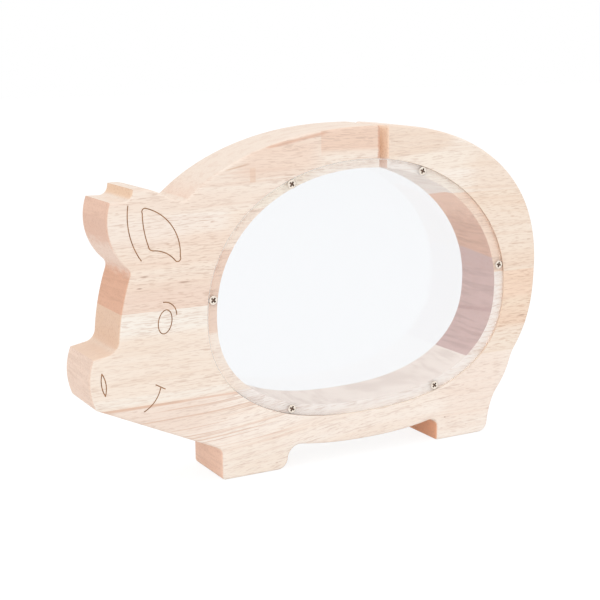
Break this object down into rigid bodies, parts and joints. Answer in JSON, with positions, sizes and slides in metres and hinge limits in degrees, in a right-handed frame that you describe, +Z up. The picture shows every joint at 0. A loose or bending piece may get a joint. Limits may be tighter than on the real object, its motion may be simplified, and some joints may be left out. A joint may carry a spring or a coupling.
{
  "type": "money box",
  "caption": "See-through wooden money box in the outline of a standing pig, with a coin slot in its back and a clear pane screwed over each face of its window.",
  "frame": {"origin": "on the floor, under the middle of the box's length and of its thickness", "axes": "+X from the snout to the tail, +Y from the front face with the drawn pig's face to the rear face, +Z up"},
  "size_m": [0.2526, 0.0324, 0.1669],
  "materials": {
    "rubberwood": "fine sanded, clear satin",
    "clear_pane": "clear polished",
    "steel_screw": "bright plated"
  },
  "bodies": {
    "board": {"foot_stave": "rubberwood", "snout_stave": "rubberwood", "haunch_stave": "rubberwood", "cheek_stave": "rubberwood", "rump_stave": "rubberwood", "ear_stave": "rubberwood", "back_stave": "rubberwood"},
    "front_pane": {"front_pane": "clear_pane"},
    "rear_pane": {"rear_pane": "clear_pane"},
    "front_screw_1": {"front_screw_1": "steel_screw"},
    "front_screw_2": {"front_screw_2": "steel_screw"},
    "front_screw_3": {"front_screw_3": "steel_screw"},
    "front_screw_4": {"front_screw_4": "steel_screw"},
    "front_screw_5": {"front_screw_5": "steel_screw"},
    "front_screw_6": {"front_screw_6": "steel_screw"},
    "rear_screw_1": {"rear_screw_1": "steel_screw"},
    "rear_screw_2": {"rear_screw_2": "steel_screw"},
    "rear_screw_3": {"rear_screw_3": "steel_screw"},
    "rear_screw_4": {"rear_screw_4": "steel_screw"},
    "rear_screw_5": {"rear_screw_5": "steel_screw"},
    "rear_screw_6": {"rear_screw_6": "steel_screw"}
  },
  "joints": [
    {"name": "front_pane_lift", "type": "slide", "parent": "board", "child": "front_pane", "axis": [0, -1, 0], "range_m": [0, 0.06]},
    {"name": "rear_pane_lift", "type": "slide", "parent": "board", "child": "rear_pane", "axis": [0, 1, 0], "range_m": [0, 0.06]},
    {"name": "front_screw_1_out", "type": "slide", "parent": "front_pane", "child": "front_screw_1", "axis": [0, -1, 0], "range_m": [0, 0.014]},
    {"name": "front_screw_2_out", "type": "slide", "parent": "front_pane", "child": "front_screw_2", "axis": [0, -1, 0], "range_m": [0, 0.014]},
    {"name": "front_screw_3_out", "type": "slide", "parent": "front_pane", "child": "front_screw_3", "axis": [0, -1, 0], "range_m": [0, 0.014]},
    {"name": "front_screw_4_out", "type": "slide", "parent": "front_pane", "child": "front_screw_4", "axis": [0, -1, 0], "range_m": [0, 0.014]},
    {"name": "front_screw_5_out", "type": "slide", "parent": "front_pane", "child": "front_screw_5", "axis": [0, -1, 0], "range_m": [0, 0.014]},
    {"name": "front_screw_6_out", "type": "slide", "parent": "front_pane", "child": "front_screw_6", "axis": [0, -1, 0], "range_m": [0, 0.014]},
    {"name": "rear_screw_1_out", "type": "slide", "parent": "rear_pane", "child": "rear_screw_1", "axis": [0, 1, 0], "range_m": [0, 0.014]},
    {"name": "rear_screw_2_out", "type": "slide", "parent": "rear_pane", "child": "rear_screw_2", "axis": [0, 1, 0], "range_m": [0, 0.014]},
    {"name": "rear_screw_3_out", "type": "slide", "parent": "rear_pane", "child": "rear_screw_3", "axis": [0, 1, 0], "range_m": [0, 0.014]},
    {"name": "rear_screw_4_out", "type": "slide", "parent": "rear_pane", "child": "rear_screw_4", "axis": [0, 1, 0], "range_m": [0, 0.014]},
    {"name": "rear_screw_5_out", "type": "slide", "parent": "rear_pane", "child": "rear_screw_5", "axis": [0, 1, 0], "range_m": [0, 0.014]},
    {"name": "rear_screw_6_out", "type": "slide", "parent": "rear_pane", "child": "rear_screw_6", "axis": [0, 1, 0], "range_m": [0, 0.014]}
  ]
}
